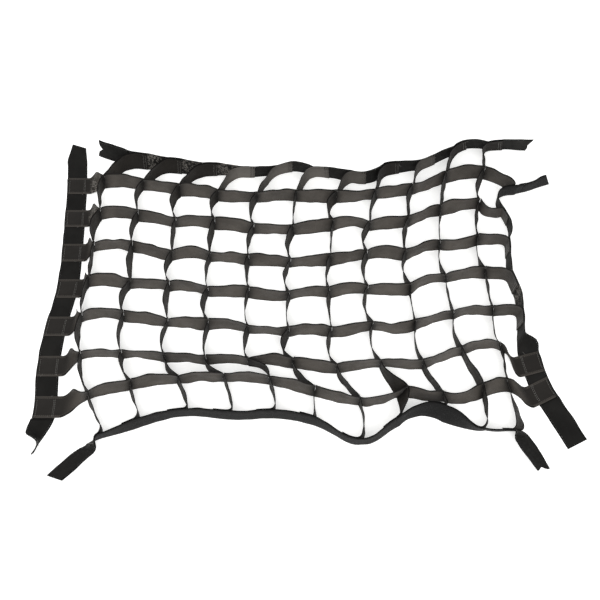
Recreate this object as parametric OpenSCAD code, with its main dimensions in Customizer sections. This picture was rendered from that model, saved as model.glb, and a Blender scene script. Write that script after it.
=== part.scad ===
// Fabric egg-crate grid for a softbox, laid down loosely on a flat surface.
// Seven row strips and eleven column strips stand on edge and slot into each
// other. Four border strips, each with a hook tape on its outer face, run
// round them. The corners are open, so every border ends in two free tails.
// +X runs along the rows, +Y along the columns, +Z up. The origin is the
// centre of the net's footprint, on the surface that it lies on.

/* [Net] */
// Spacing of the strips before the net is rumpled
cell = 75; // [72:1:78]
// Height of every strip, from its lower edge to its upper edge
strip_h = 38; // [34:1:40]
// Thickness of the doubled cloth that a strip is made of
cloth_t = 1; // [0.8:0.1:1.2]

/* [Border] */
// Thickness of the hook tape on the outer face of the borders
tape_t = 0.8; // [0.6:0.1:1]

/* [Joints in the cloth] */
// Width of the slots in which the strips cross
slot_w = 4.4; // [4:0.1:5]
// Air between a border and the hook tape that is sewn to it
sewn_gap = 0.1; // [0.1:0.05:0.2]
// Air between a border and the strip ends that are sewn to its inner face
tab_gap = 0.3; // [0.2:0.1:0.5]
// Opening across each border where its free tail folds
fold_gap = 1.6; // [1.2:0.1:2]
// Greatest length of the strip ends that lie along the borders
tab_len = 24; // [18:1:26]

/* [Stitches] */
// Thickness of the sewing thread
thread_t = 0.6; // [0.5:0.1:0.8]

/* [Hidden] */
lay = cell / 75;          // the lay below is for a spacing of 75
probe = 0.02;             // step along a bay that shows which way the cloth runs
rows = 7;
columns = 11;
cloth_colour = "dimgray";
tape_colour = "black";
thread_colour = "gray";
up = [0, 0, 1];
right_turnover = 7;       // the right border's knot that no strip is sewn on at
lift = 0.8;               // least height of a crossing above the surface
lift_play = 0.7;          // the mean crossing is this much higher
edge_z = 0.9;             // height of a border's lower edge where it stands on it
lean_spread = 60;         // one more unit of lean for this far from the middle
lean_play = [2, 3];       // how much the lean of a crossing differs from the rest
row_bow_mean = 0.4;
row_bow_play = 0.3;
column_bow_mean = -0.55;
column_bow_last = -0.15;  // in the last bay but one
twist_play = 4;           // how far a strip's upper edge swings out between crossings
column_twist = -4;
slot_slope = 0.3;         // run of a slot's sloped edge
slot_play = 0.02;         // half of the gap between two slots' ends, as a share
tack_w = 1;               // half width of a tack
tack_air = 0.45;          // air above and below a tack
touch_share = 0.1;        // where a strip end meets its border, in the border's bay
thread_air = 0.8;         // air under the seam threads
flat_lead = 5;            // how far a flat strip end reaches past the border
flat_cover = 0.96;        // share of the border that a flat strip end covers
seam_reach = 0.42;        // half length of a seam, as a share of the strip
seam_setbacks = [1.5, 7]; // the two seams of a strip end, from its cut edge
flat_seam_shares = [0.12, 0.86];
bay_shares = [0.25, 0.5, 0.75];
border_shares = [0, 0.1, 0.2, 0.3, 0.4, 0.6, 0.8];

// The lay of the net: lower edges where the strips cross, [x, y], one line
// for each row and one pair for each column from the left to the right.
crossing_xy = [
    [[-370, 245], [-298, 240], [-227, 225], [-155, 215], [-80, 211], [-6, 214],
     [69, 210], [144, 220], [212, 229], [281, 258], [352, 266]],
    [[-371, 171], [-301, 167], [-230, 155], [-157, 148], [-86, 140], [-12, 138],
     [60, 145], [130, 147], [200, 154], [263, 180], [335, 196]],
    [[-375, 100], [-303, 99], [-232, 80], [-163, 78], [-91, 70], [-18, 66],
     [56, 69], [122, 84], [190, 80], [256, 104], [325, 115]],
    [[-376, 25], [-302, 21], [-230, 16], [-161, 6], [-91, 3], [-19, -2],
     [53, 2], [119, 11], [194, 9], [260, 34], [330, 42]],
    [[-377, -45], [-305, -45], [-229, -54], [-159, -62], [-88, -68], [-17, -74],
     [54, -75], [124, -60], [198, -62], [267, -40], [337, -34]],
    [[-370, -118], [-300, -116], [-227, -124], [-157, -128], [-87, -128], [-13, -134],
     [60, -143], [134, -132], [207, -135], [275, -110], [346, -104]],
    [[-350, -190], [-281, -173], [-204, -161], [-128, -158], [-52, -163], [24, -185],
     [98, -200], [160, -187], [236, -194], [300, -188], [350, -178]]
];

// Crossings that lean more than the rest: [row, column, lean in x, lean in y]
leans = [[1, 1, 2, 4], [4, 1, 8, 5], [5, 1, 6, 0], [5, 11, -8, 0], [6, 11, -14, 2],
         [7, 8, 16, 6], [7, 9, -6, 4], [7, 10, -2, 14], [7, 11, -14, 12]];

// The borders run clockwise, each from the tip of its first tail to the tip
// of its last one: [x, y, lean in x, lean in y]. Knot 1 and the last but one
// are the folds of the tails, and the strips are sewn on at those between. The
// right border has one knot more, where it starts to turn over.
left_knots = [[-428, -285, 18, -4], [-402, -232, -38, 0], [-399, -204, -38, 0],
    [-405, -130, -38, 0], [-403, -54, -38, 0], [-394, 22, -38, 0], [-396, 98, -38, 0],
    [-401, 174, -38, 0], [-407, 250, -38, 0], [-410, 275, -38, 0], [-419, 350, -37, -2]];
back_knots = [[-393, 326, 6, 6], [-336, 301, 2, 11], [-320, 295, 1, 11],
    [-255, 284, 3, 8], [-187, 275, 3, 3], [-116, 274, 2, -4], [-44, 278, 2, -6],
    [28, 275, -3, -6], [98, 262, -2, -2], [163, 276, -3, 1], [234, 292, -5, -6],
    [302, 326, -7, -7], [370, 339, -8, -8], [404, 341, -6, -6], [447, 340, -2, -6]];
right_knots = [[475, 255, -11, -4], [424, 236, 2, -6], [406, 230, 0, -5],
    [374, 186, -5, -4], [376, 116, 0, -5], [370, 40, 2, 0], [378, -34, 3, -2],
    [372, -80, 5, -2], [370, -112, 37, 9], [385, -184, 34, 17], [397, -208, 34, 17],
    [428, -276, 34, 17]];
front_knots = [[396, -306, -30, -14], [374, -262, -33, -6], [360, -246, -22, -8],
    [300, -243, -8, -10], [231, -230, 8, 14], [161, -236, -5, 0], [98, -268, -4, -3],
    [30, -238, -4, 2], [-43, -223, 1, 0], [-114, -225, 3, 0], [-184, -219, 4, -2],
    [-256, -237, -2, 0], [-318, -257, 2, -6], [-357, -278, 30, -14], [-403, -324, 37, -2]];

// How much of its spare cloth each border bay bows outwards with, inwards
// where it is below zero. The bays run from knot to knot.
left_bows = [for (i = [2 : len(left_knots)]) 0];
back_bows = [0, 0, 0.1, 0.1, 0.3, -0.3, 1, 0.2, -0.6, 0.2, -0.2, 0.8, 0, 0];
right_bows = [0, 0, -0.8, 1, 0.3, 1, 0, 0, 0, 0, 0];
front_bows = [0, 0, 0.1, 0.4, -1, 0.2, 0.2, -0.3, 0.1, 0, -0.2, 0.1, 0, 0];

// Bays that bow otherwise than the rest: [row, column before the bay, share],
// and [column, row before the bay, share].
row_bows = [[1, 8, 0.1], [1, 10, 0.1], [2, 6, 0], [2, 7, 0.9], [2, 8, 0.2], [2, 11, -0.7],
    [3, 2, 0], [3, 6, 0.6], [3, 10, -0.6], [4, 4, 0.1], [4, 5, -0.3], [4, 6, 0.8], [4, 9, 0.9],
    [5, 3, 0.1], [5, 7, -0.3], [5, 8, -1], [6, 6, 0.1], [7, 1, -0.1], [7, 7, -0.3], [7, 9, -0.3]];
column_bows = [[1, 7, -0.3], [2, 7, -0.3], [3, 4, -0.2], [4, 2, -0.2], [4, 5, -0.2],
    [5, 3, -0.1], [5, 5, -0.2], [5, 6, 0.5], [6, 7, -0.3], [7, 4, 0], [7, 5, -0.3], [9, 4, 0.1]];

tab_offset = -(cloth_t + tab_gap);          // middle of a strip end on a border
thread_offset = -(1.5 * cloth_t + tab_gap + thread_t / 2 + thread_air);
flat_z = tape_t + sewn_gap + cloth_t / 2;   // middle of a border that lies flat

function unit(v) = v / norm(v);
function mix(a, b, t) = a + (b - a) * t;
function ease(t) = t * t * (3 - 2 * t);
function arch(t) = 4 * t * (1 - t);
function wobble(a, b) = sin(137 * a + 71 * b + 29 * a * b);
function flat(v) = [v[0], v[1], 0];
function pick(list, row, column) = [for (l = list) if (l[0] == row && l[1] == column) l];

// A lean is the vector from a strip's lower edge to its upper edge.
function lean(x, y) = [x, y, sqrt(max(0, strip_h * strip_h - x * x - y * y))];

// A knot is [lower edge point, lean, heading], heading undef where it follows
// from the knots on both sides.
function crossing(row, column) =
    let (xy = crossing_xy[row - 1][column - 1] * lay,
         own = pick(leans, row, column),
         extra = len(own) > 0 ? [own[0][2], own[0][3]]
             : [-xy[0] / lean_spread + lean_play[0] * wobble(column, row),
                lean_play[1] * wobble(row, column)])
    [[xy[0], xy[1], lift + lift_play * (1 + wobble(row + 3, column))],
     lean(extra[0], extra[1]), undef];

function border_knot(k) =
    let (flatness = min(1, norm([k[2], k[3]]) / strip_h))
    [[k[0] * lay, k[1] * lay, mix(edge_z, flat_z, flatness)], lean(k[2], k[3]), undef];
function border(knots) = [for (k = knots) border_knot(k)];

// Point and lean at t from 0 to 1 between knot i and the next one. The cloth
// between two knots keeps its length, so its spare length bows it sideways.
function heading(k, i) = k[i][2] != undef ? k[i][2]
    : unit(k[min(i + 1, len(k) - 1)][0] - k[max(i - 1, 0)][0]);
function bow(chord) = sqrt(max(0, 3 * chord * (cell - chord) / 8));
function between(k, i, t, side, twist) =
    let (a = k[i][0], b = k[i + 1][0], c = norm(b - a),
         across = unit(cross(up, b - a)),
         t2 = t * t, t3 = t2 * t,
         p = (2 * t3 - 3 * t2 + 1) * a + (t3 - 2 * t2 + t) * c * heading(k, i)
             + (3 * t2 - 2 * t3) * b + (t3 - t2) * c * heading(k, i + 1),
         turn = twist * pow(c / cell, 2) * arch(t),
         l = mix(k[i][1], k[i + 1][1], ease(t)) + across * turn)
    [p + across * side * bow(c) * arch(t), strip_h * unit(l)];

// A station is [point, lean, lower limit, upper limit] of the cloth, with
// the limits as shares of the strip's height.
function station(s, lo, hi) = [s[0], s[1], lo, hi];

// Stations of one bay, with half of a slot at the ends that cross.
function bay(k, i, side, twist, slot_lo, slot_hi, first, last) =
    let (c = norm(k[i + 1][0] - k[i][0]),
         a = slot_w / 2 / c, b = (slot_w / 2 + slot_slope) / c)
    concat(
        first ? [station(between(k, i, 0, side, twist), 0, 1)]
              : [station(between(k, i, a, side, twist), slot_lo, slot_hi),
                 station(between(k, i, b, side, twist), 0, 1)],
        [for (t = bay_shares) station(between(k, i, t, side, twist), 0, 1)],
        last ? []
             : [station(between(k, i, 1 - b, side, twist), 0, 1),
                station(between(k, i, 1 - a, side, twist), slot_lo, slot_hi)]);

// How much of its spare cloth the bay after a crossing bows with: rows
// towards the back, and columns towards the left.
function row_bow(row, column) =
    let (own = pick(row_bows, row, column))
    len(own) > 0 ? own[0][2] : column == columns ? 0
        : row_bow_mean + row_bow_play * wobble(3 * column, row);
function column_bow(column, row) =
    let (own = pick(column_bows, column, row))
    len(own) > 0 ? own[0][2] : row == rows ? 0
        : row == rows - 1 ? column_bow_last : column_bow_mean;

// Middle of a strip at a station, and the unit normal of its face.
function middle(s) = s[0] + s[1] * 0.5;
function face_normal(s, i) =
    unit(cross(s[i][1], middle(s[min(i + 1, len(s) - 1)]) - middle(s[max(i - 1, 0)])));

// Closed ribbon along the stations, between two distances from its middle.
// Both broad faces are split along the same diagonals, so that it stays as
// thick where it twists.
module ribbon(s, from, to) {
    n = len(s);
    points = [for (i = [0 : n - 1])
        let (f = face_normal(s, i),
             low = s[i][0] + s[i][1] * s[i][2],
             high = s[i][0] + s[i][1] * s[i][3])
        each [low + f * from, low + f * to, high + f * to, high + f * from]];
    quads = [for (i = [0 : n - 2]) for (j = [0 : 3])
        let (a = 4 * i + j, b = 4 * i + (j + 1) % 4)
        each j == 3 ? [[a, a + 4, b], [a + 4, b + 4, b]] : [[a, a + 4, b + 4], [a, b + 4, b]]];
    e = 4 * (n - 1);
    ends = [[0, 1, 2], [0, 2, 3], [e, e + 2, e + 1], [e, e + 3, e + 2]];
    polyhedron(points = points, faces = concat(quads, ends), convexity = 12);
}

left_route = [border(left_knots), left_bows];
back_route = [border(back_knots), back_bows];
right_route = [border(right_knots), right_bows];
front_route = [border(front_knots), front_bows];

// A border's cloth at t in its bay i, moved along its outward normal, with
// the way that it runs.
function border_at(route, i, t) = between(route[0], i, t, route[1][i], 0);
function on_border(route, i, t, offset) =
    let (s = border_at(route, i, t),
         q = border_at(route, i, min(1, t + probe)),
         p = border_at(route, i, max(0, t - probe)),
         run = unit((q[0] + q[1] / 2) - (p[0] + p[1] / 2)),
         out = unit(cross(s[1], run)))
    [s[0] + out * offset, s[1], run];

// Knots of the borders where rows and columns are sewn on. From this row on
// the right border lies flat, and that row's end lies at this share of its
// bay, past the turnover.
right_flat_row = 6;
right_flat_place = 0.25;
function left_knot(row) = rows + 2 - row;
function right_knot(row) = row + 1 < right_turnover ? row + 1 : row + 2;
function right_flat_share(row) = row == right_flat_row ? right_flat_place : 0;
function back_knot(column) = column + 1;
function front_knot(column) = columns + 2 - column;

function chord(route, i) = norm(route[0][i + 1][0] - route[0][i][0]);
function backwards(list) = [for (i = [len(list) - 1 : -1 : 0]) list[i]];

// A strip end that turns and lies along a border's inner face, from the knot
// where it touches to its cut edge, in the border's bay i.
function turned_end(route, i) =
    [for (t = border_shares)
        if (t >= touch_share && (t - touch_share) * chord(route, i) <= tab_len)
            on_border(route, i, t, tab_offset)];

// A row end that lies flat across a border that lies flat, from the border's
// inner edge to its outer edge, at t in its bay i.
function flat_end(route, i, t) =
    let (s = on_border(route, i, t, tab_offset),
         away = s[2] * sign(s[2][1]) * strip_h,
         out = unit(flat(s[1])))
    [[s[0] - out * flat_lead - away / 2, away, out],
     [s[0] + s[1] * flat_cover - away / 2, away, out]];

// The same end at the start of a strip, which runs the other way there.
function turned_back(end) = [for (k = backwards(end)) [k[0], k[1], -k[2]]];

// Stations of a whole strip between two ends, with slots at its crossings.
function strip_stations(start, crossings, end, bows, twists, slot_lo, slot_hi) =
    let (k = concat([start[len(start) - 1]], crossings, [end[0]]),
         n = len(k) - 1)
    concat(
        [for (i = [0 : 1 : len(start) - 2]) station(start[i], 0, 1)],
        [for (i = [0 : n - 1]) each
            bay(k, i, bows[i], twists[i], slot_lo, slot_hi, i == 0, i == n - 1)],
        [for (e = end) station(e, 0, 1)]);

function row_stations(row) =
    strip_stations(
        turned_back(flat_end(left_route, left_knot(row), 0)),
        [for (c = [1 : columns]) crossing(row, c)],
        row < right_flat_row ? turned_end(right_route, right_knot(row))
            : flat_end(right_route, right_knot(row), right_flat_share(row)),
        concat([0], [for (c = [1 : columns]) row_bow(row, c)]),
        concat([0], [for (c = [1 : columns - 1]) twist_play * wobble(c + 1, row)], [0]),
        0, 0.5 - slot_play);

function column_stations(column) =
    strip_stations(
        turned_back(turned_end(back_route, back_knot(column))),
        [for (r = [1 : rows]) crossing(r, column)],
        turned_end(front_route, front_knot(column)),
        concat([0], [for (r = [1 : rows]) column_bow(column, r)]),
        concat([0], [for (r = [1 : rows - 1])
            column_twist - twist_play * wobble(column, r + 1)], [0]),
        0.5 + slot_play, 1);

// Half of the gap at a fold, as a share of the bay.
function fold_share(route, i) = fold_gap / 2 / chord(route, i);

// Stations of a border from its first fold to its last one.
function border_stations(route) =
    let (n = len(route[0]) - 1)
    concat(
        [for (t = [fold_share(route, 1), 0.5]) station(border_at(route, 1, t), 0, 1)],
        [for (i = [2 : n - 2], t = border_shares) station(border_at(route, i, t), 0, 1)],
        [station(border_at(route, n - 2, 1 - fold_share(route, n - 2)), 0, 1)]);

function tail_stations(route, first) =
    let (i = first ? 0 : len(route[0]) - 2,
         lo = first ? 0 : fold_share(route, i),
         hi = first ? 1 - fold_share(route, i) : 1)
    [for (q = [0 : 4]) station(border_at(route, i, mix(lo, hi, q / 4)), 0, 1)];

// The whole net's footprint, from its borders and tails.
routes = [left_route, back_route, right_route, front_route];
sides = ["left", "back", "right", "front"];
all_corners = [for (r = routes)
    for (s = concat(tail_stations(r, true), border_stations(r), tail_stations(r, false)))
        each [s[0], s[0] + s[1]]];
low_x = min([for (p = all_corners) p[0]]);
high_x = max([for (p = all_corners) p[0]]);
low_y = min([for (p = all_corners) p[1]]);
high_y = max([for (p = all_corners) p[1]]);
centre = [(low_x + high_x) / 2, (low_y + high_y) / 2, 0];

// Bars of thread, each [middle, half width, half length, half thickness] with
// three vectors, as one polyhedron of separate boxes.
module thread_bars(bars) {
    corner = [[-1, -1, -1], [1, -1, -1], [1, 1, -1], [-1, 1, -1],
              [-1, -1, 1], [1, -1, 1], [1, 1, 1], [-1, 1, 1]];
    face = [[0, 1, 2, 3], [7, 6, 5, 4], [0, 4, 5, 1], [1, 5, 6, 2], [2, 6, 7, 3], [3, 7, 4, 0]];
    polyhedron(
        points = [for (b = bars, c = corner) b[0] + b[1] * c[0] + b[2] * c[1] + b[3] * c[2]],
        faces = [for (i = [0 : len(bars) - 1], f = face) [for (v = f) v + 8 * i]],
        convexity = 12);
}

// Two bars of thread across a strip end that lies along a border.
function seam(route, i) =
    let (shares = [for (t = border_shares)
             if ((t - touch_share) * chord(route, i) <= tab_len) t])
    [for (setback = seam_setbacks)
        let (s = on_border(route, i, max(shares) - setback / chord(route, i), thread_offset))
        [s[0] + s[1] / 2, s[2] * thread_t / 2, s[1] * seam_reach,
         unit(cross(s[2], s[1])) * thread_t / 2]];

// Bars of thread along the two cross edges of a row end that lies flat.
function flat_seam(route, i, t) =
    [for (share = flat_seam_shares)
        let (s = on_border(route, i, t, thread_offset))
        [s[0] + s[1] * share, unit(s[1]) * thread_t / 2, s[2] * strip_h * seam_reach,
         unit(cross(s[1], s[2])) * thread_t / 2]];

// A tack between the ends of the two slots at a crossing: half of its sides.
tack_h = slot_play * strip_h - tack_air;
function crossing_tack(row, column) =
    let (k = crossing(row, column), u = unit(k[1]), a = unit(cross(u, [0, 1, 0])))
    [k[0] + k[1] / 2, a * tack_w, cross(u, a) * tack_w, u * tack_h];

module cloth_layer(s) {
    color(cloth_colour) translate(-centre) ribbon(s, -cloth_t / 2, cloth_t / 2);
}

module row_strip(row) {
    cloth_layer(row_stations(row));
}

module column_strip(column) {
    cloth_layer(column_stations(column));
}

module tape_layer(s) {
    from = cloth_t / 2 + sewn_gap;
    color(tape_colour) translate(-centre) ribbon(s, from, from + tape_t);
}

module crossing_tacks() {
    color(thread_colour) translate(-centre)
        thread_bars([for (r = [1 : rows], c = [1 : columns]) crossing_tack(r, c)]);
}

module seam_threads(bars) {
    color(thread_colour) translate(-centre) thread_bars(bars);
}

// The seams of the strip ends on each border.
left_seams = [for (r = [1 : rows]) each flat_seam(left_route, left_knot(r), 0)];
back_seams = [for (c = [1 : columns]) each seam(back_route, back_knot(c))];
right_seams = [for (r = [1 : rows]) each
    r < right_flat_row ? seam(right_route, right_knot(r))
        : flat_seam(right_route, right_knot(r), right_flat_share(r))];
front_seams = [for (c = [1 : columns]) each seam(front_route, front_knot(c))];
seams = [left_seams, back_seams, right_seams, front_seams];

// The two corners that each border's tails point to, first tail first.
tail_ends = [["front", "back"], ["left", "right"], ["back", "front"], ["right", "left"]];

for (r = [1 : rows]) row_strip(r);
for (c = [1 : columns]) column_strip(c);
for (b = [0 : 3]) {
    cloth_layer(border_stations(routes[b]));
    tape_layer(border_stations(routes[b]));
    seam_threads(seams[b]);
}
for (b = [0 : 3], e = [0 : 1]) {
    tail = tail_stations(routes[b], e == 0);
    cloth_layer(tail);
    tape_layer(tail);
}
crossing_tacks();
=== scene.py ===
"""Fabric egg-crate grid for a softbox, laid down loosely: its cloth, tape and thread.

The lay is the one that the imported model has: the same knots and the same curves
between them, in millimetres, with hems, wrinkles, stitches and loose threads.
"""

import math
import random

import bpy
import numpy as np
from bpy.props import FloatProperty, FloatVectorProperty, PointerProperty
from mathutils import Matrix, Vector, noise


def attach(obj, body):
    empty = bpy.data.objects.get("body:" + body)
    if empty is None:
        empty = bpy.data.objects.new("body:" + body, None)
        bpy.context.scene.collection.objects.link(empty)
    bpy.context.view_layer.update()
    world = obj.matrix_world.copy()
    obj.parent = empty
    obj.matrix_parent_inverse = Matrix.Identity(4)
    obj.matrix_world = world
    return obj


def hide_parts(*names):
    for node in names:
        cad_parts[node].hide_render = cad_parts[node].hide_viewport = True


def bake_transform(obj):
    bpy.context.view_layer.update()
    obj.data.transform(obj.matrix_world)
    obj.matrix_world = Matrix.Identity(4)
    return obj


bl_info = {
    "name": "Softbox Grid",
    "version": (1, 0, 0),
    "blender": (4, 5, 0),
    "location": "View3D > Sidebar > Softbox Grid",
    "description": "Builds the cloth, tape and thread of a fabric softbox grid",
    "category": "Add Mesh",
}

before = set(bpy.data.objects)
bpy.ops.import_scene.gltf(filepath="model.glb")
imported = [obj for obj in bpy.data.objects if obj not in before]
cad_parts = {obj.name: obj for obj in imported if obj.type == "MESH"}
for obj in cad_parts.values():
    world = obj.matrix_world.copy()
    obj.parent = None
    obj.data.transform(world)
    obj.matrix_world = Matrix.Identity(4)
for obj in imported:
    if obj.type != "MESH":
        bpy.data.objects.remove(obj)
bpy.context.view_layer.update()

MM = 0.001

# ---------------------------------------------------------------------------
# The lay of the net, in millimetres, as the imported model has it
# ---------------------------------------------------------------------------

CELL = 75.0
STRIP_H = 38.0
CLOTH_T = 1.0
TAPE_T = 0.8
SEWN_GAP = 0.1
TAB_GAP = 0.3
TAB_LEN = 24.0
ROWS = 7
COLUMNS = 11
TOUCH_SHARE = 0.1
FLAT_LEAD = 5.0
FLAT_COVER = 0.96
BORDER_SHARES = (0, 0.1, 0.2, 0.3, 0.4, 0.6, 0.8)
LIFT = 0.8
LIFT_PLAY = 0.7          # a crossing is raised by up to twice this above LIFT
EDGE_Z = 0.9             # lower edge of a border that stands
LEAN_SPREAD = 60         # the strips lean towards the middle by x / this
LEAN_PLAY = (2, 3)       # uneven lean, along x and along y
FLAT_Z = TAPE_T + SEWN_GAP + CLOTH_T / 2
TAB_OFFSET = -(CLOTH_T + TAB_GAP)
CENTRE = Vector((9.5, 12.0, 0.0))
UP = Vector((0.0, 0.0, 1.0))

# Lower edges where the strips cross, a line for each row from the back
CROSSING_XY = (
    ((-370, 245), (-298, 240), (-227, 225), (-155, 215), (-80, 211), (-6, 214),
     (69, 210), (144, 220), (212, 229), (281, 258), (352, 266)),
    ((-371, 171), (-301, 167), (-230, 155), (-157, 148), (-86, 140), (-12, 138),
     (60, 145), (130, 147), (200, 154), (263, 180), (335, 196)),
    ((-375, 100), (-303, 99), (-232, 80), (-163, 78), (-91, 70), (-18, 66),
     (56, 69), (122, 84), (190, 80), (256, 104), (325, 115)),
    ((-376, 25), (-302, 21), (-230, 16), (-161, 6), (-91, 3), (-19, -2),
     (53, 2), (119, 11), (194, 9), (260, 34), (330, 42)),
    ((-377, -45), (-305, -45), (-229, -54), (-159, -62), (-88, -68), (-17, -74),
     (54, -75), (124, -60), (198, -62), (267, -40), (337, -34)),
    ((-370, -118), (-300, -116), (-227, -124), (-157, -128), (-87, -128), (-13, -134),
     (60, -143), (134, -132), (207, -135), (275, -110), (346, -104)),
    ((-350, -190), (-281, -173), (-204, -161), (-128, -158), (-52, -163), (24, -185),
     (98, -200), (160, -187), (236, -194), (300, -188), (350, -178)),
)

# Crossings that lean more than the rest
LEANS = {(1, 1): (2, 4), (4, 1): (8, 5), (5, 1): (6, 0), (5, 11): (-8, 0), (6, 11): (-14, 2),
         (7, 8): (16, 6), (7, 9): (-6, 4), (7, 10): (-2, 14), (7, 11): (-14, 12)}

# Borders, clockwise, from tail tip to tail tip: x, y, lean in x, lean in y
KNOTS = {
    "left": ((-428, -285, 18, -4), (-402, -232, -38, 0), (-399, -204, -38, 0),
             (-405, -130, -38, 0), (-403, -54, -38, 0), (-394, 22, -38, 0), (-396, 98, -38, 0),
             (-401, 174, -38, 0), (-407, 250, -38, 0), (-410, 275, -38, 0), (-419, 350, -37, -2)),
    "back": ((-393, 326, 6, 6), (-336, 301, 2, 11), (-320, 295, 1, 11), (-255, 284, 3, 8),
             (-187, 275, 3, 3), (-116, 274, 2, -4), (-44, 278, 2, -6), (28, 275, -3, -6),
             (98, 262, -2, -2), (163, 276, -3, 1), (234, 292, -5, -6), (302, 326, -7, -7),
             (370, 339, -8, -8), (404, 341, -6, -6), (447, 340, -2, -6)),
    "right": ((475, 255, -11, -4), (424, 236, 2, -6), (406, 230, 0, -5), (374, 186, -5, -4),
              (376, 116, 0, -5), (370, 40, 2, 0), (378, -34, 3, -2), (372, -80, 5, -2),
              (370, -112, 37, 9), (385, -184, 34, 17), (397, -208, 34, 17), (428, -276, 34, 17)),
    "front": ((396, -306, -30, -14), (374, -262, -33, -6), (360, -246, -22, -8),
              (300, -243, -8, -10), (231, -230, 8, 14), (161, -236, -5, 0), (98, -268, -4, -3),
              (30, -238, -4, 2), (-43, -223, 1, 0), (-114, -225, 3, 0), (-184, -219, 4, -2),
              (-256, -237, -2, 0), (-318, -257, 2, -6), (-357, -278, 30, -14),
              (-403, -324, 37, -2)),
}

# Share of its spare cloth that each border bay bows outwards with
BOWS = {
    "left": (0,) * 10,
    "back": (0, 0, 0.1, 0.1, 0.3, -0.3, 1, 0.2, -0.6, 0.2, -0.2, 0.8, 0, 0),
    "right": (0, 0, -0.8, 1, 0.3, 1, 0, 0, 0, 0, 0),
    "front": (0, 0, 0.1, 0.4, -1, 0.2, 0.2, -0.3, 0.1, 0, -0.2, 0.1, 0, 0),
}
SIDES = ("left", "back", "right", "front")
TAIL_ENDS = {"left": ("front", "back"), "back": ("left", "right"),
             "right": ("back", "front"), "front": ("right", "left")}

# Bays that bow otherwise than the rest
ROW_BOWS = {(1, 8): 0.1, (1, 10): 0.1, (2, 6): 0, (2, 7): 0.9, (2, 8): 0.2, (2, 11): -0.7,
            (3, 2): 0, (3, 6): 0.6, (3, 10): -0.6, (4, 4): 0.1, (4, 5): -0.3, (4, 6): 0.8,
            (4, 9): 0.9, (5, 3): 0.1, (5, 7): -0.3, (5, 8): -1, (6, 6): 0.1, (7, 1): -0.1,
            (7, 7): -0.3, (7, 9): -0.3}
COLUMN_BOWS = {(1, 7): -0.3, (2, 7): -0.3, (3, 4): -0.2, (4, 2): -0.2, (4, 5): -0.2,
               (5, 3): -0.1, (5, 5): -0.2, (5, 6): 0.5, (6, 7): -0.3, (7, 4): 0, (7, 5): -0.3,
               (9, 4): 0.1}

# The right border turns over and lies flat from this row on
RIGHT_TURNOVER = 7
RIGHT_FLAT_ROW = 6
RIGHT_FLAT_SHARE = 0.25


def mix(a, b, t):
    return a + (b - a) * t


def ease(t):
    return t * t * (3 - 2 * t)


def arch(t):
    return 4 * t * (1 - t)


def wobble(a, b):
    return math.sin(math.radians(137 * a + 71 * b + 29 * a * b))


def lean(x, y):
    """Vector from a strip's lower edge to its upper edge."""
    return Vector((x, y, math.sqrt(max(0.0, STRIP_H * STRIP_H - x * x - y * y))))


def crossing(row, column):
    """Knot of a crossing: lower edge point, lean, and no heading of its own."""
    x, y = CROSSING_XY[row - 1][column - 1]
    own = LEANS.get((row, column))
    tilt = own or (-x / LEAN_SPREAD + LEAN_PLAY[0] * wobble(column, row),
                   LEAN_PLAY[1] * wobble(row, column))
    raised = LIFT + LIFT_PLAY * (1 + wobble(row + 3, column))
    return Vector((x, y, raised)), lean(*tilt), None


def border_knot(k):
    """Knot of a border: lower edge point, which lies flat as far as it leans."""
    flatness = min(1.0, math.hypot(k[2], k[3]) / STRIP_H)
    return Vector((k[0], k[1], mix(EDGE_Z, FLAT_Z, flatness))), lean(k[2], k[3]), None


ROUTES = {side: ([border_knot(k) for k in KNOTS[side]], BOWS[side]) for side in SIDES}


def heading(knots, i):
    if knots[i][2] is not None:
        return knots[i][2]
    after, before = knots[min(i + 1, len(knots) - 1)][0], knots[max(i - 1, 0)][0]
    return (after - before).normalized()


def between(knots, i, t, side, twist):
    """Lower edge point and lean at t from 0 to 1 in the bay after knot i."""
    a, b = knots[i][0], knots[i + 1][0]
    c = (b - a).length
    across = UP.cross(b - a).normalized()
    t2, t3 = t * t, t * t * t
    p = (a * (2 * t3 - 3 * t2 + 1) + heading(knots, i) * ((t3 - 2 * t2 + t) * c)
         + b * (3 * t2 - 2 * t3) + heading(knots, i + 1) * ((t3 - t2) * c))
    spare = math.sqrt(max(0.0, 3 * c * (CELL - c) / 8))
    turn = twist * (c / CELL) ** 2 * arch(t)
    tilt = knots[i][1].lerp(knots[i + 1][1], ease(t)) + across * turn
    return p + across * (side * spare * arch(t)), tilt.normalized() * STRIP_H


def border_at(route, i, t):
    return between(route[0], i, t, route[1][i], 0)


def on_border(route, i, t, offset):
    """A border's cloth at t of bay i, moved along its outward normal, with its run."""
    low, tilt = border_at(route, i, t)
    after, before = border_at(route, i, min(1, t + 0.02)), border_at(route, i, max(0, t - 0.02))
    run = (after[0] + after[1] / 2 - before[0] - before[1] / 2).normalized()
    out = tilt.cross(run).normalized()
    return low + out * offset, tilt, run


def chord(route, i):
    return (route[0][i + 1][0] - route[0][i][0]).length


def tab_shares(route, i):
    """Places in a border's bay where a strip end lies on it."""
    return [t for t in BORDER_SHARES
            if t >= TOUCH_SHARE and (t - TOUCH_SHARE) * chord(route, i) <= TAB_LEN]


def left_knot(row):
    return ROWS + 2 - row


def right_knot(row):
    return row + 1 if row + 1 < RIGHT_TURNOVER else row + 2


def back_knot(column):
    return column + 1


def front_knot(column):
    return COLUMNS + 2 - column


def turned_end(route, i):
    """A strip end that turns and lies along a border's inner face."""
    shares = tab_shares(route, i)
    steps = np.linspace(shares[0], shares[-1], 21)
    return [on_border(route, i, float(t), TAB_OFFSET) for t in steps]


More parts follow.
